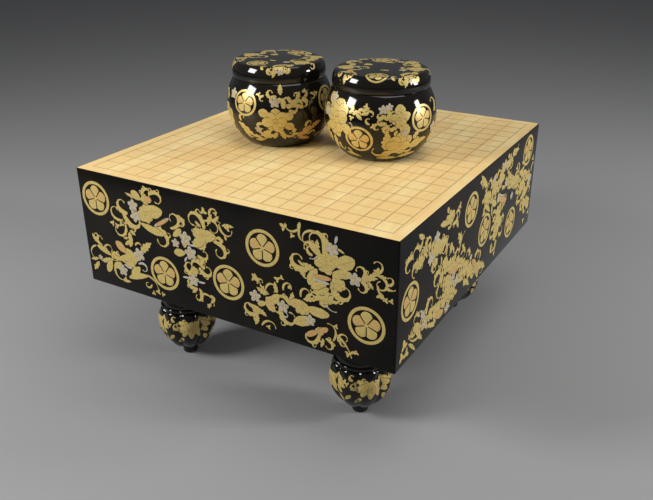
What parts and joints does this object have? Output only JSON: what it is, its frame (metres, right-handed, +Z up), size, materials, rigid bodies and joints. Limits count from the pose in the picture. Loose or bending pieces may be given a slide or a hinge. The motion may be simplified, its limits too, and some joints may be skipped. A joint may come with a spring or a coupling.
{
  "type": "go board",
  "caption": "Thick go board with a bare wooden playing surface, black lacquered sides and carved lobed legs, and a pair of round lidded bowls of stones standing on it.",
  "frame": {"origin": "centre of the rectangle that the board covers, on the floor under its feet", "axes": "+X across the board's width, +Y along its length, +Z up"},
  "size_m": [0.424, 0.4546, 0.3784],
  "materials": {
    "bare_wood": "planed, bare, satin",
    "black_lacquer": "polished black lacquer over wood",
    "line_lacquer": "raised lacquer line",
    "gold_powder": "gold powder sprinkled on lacquer",
    "red_gold_powder": "warm red gold powder sprinkled on lacquer",
    "silver_powder": "silver powder sprinkled on lacquer",
    "slate": "oiled slate",
    "shell": "polished shell"
  },
  "bodies": {
    "board": {"board_block": "bare_wood", "lacquer_coat": "black_lacquer", "grid_lines": "line_lacquer", "star_points": "line_lacquer", "leg_front_left": "black_lacquer", "leg_front_right": "black_lacquer", "leg_back_left": "black_lacquer", "leg_back_right": "black_lacquer"},
    "left_bowl_body": {"left_bowl": "black_lacquer", "black_stones": "slate"},
    "left_lid_body": {"left_lid": "black_lacquer"},
    "right_bowl_body": {"right_bowl": "black_lacquer", "white_stones": "shell"},
    "right_lid_body": {"right_lid": "black_lacquer"}
  },
  "joints": [
    {"name": "left_bowl_lift", "type": "slide", "parent": "board", "child": "left_bowl_body", "axis": [0, 0, 1], "range_m": [0, 0.12]},
    {"name": "left_lid_lift", "type": "slide", "parent": "left_bowl_body", "child": "left_lid_body", "axis": [0, 0, 1], "range_m": [0, 0.1]},
    {"name": "right_bowl_lift", "type": "slide", "parent": "board", "child": "right_bowl_body", "axis": [0, 0, 1], "range_m": [0, 0.12]},
    {"name": "right_lid_lift", "type": "slide", "parent": "right_bowl_body", "child": "right_lid_body", "axis": [0, 0, 1], "range_m": [0, 0.1]}
  ]
}
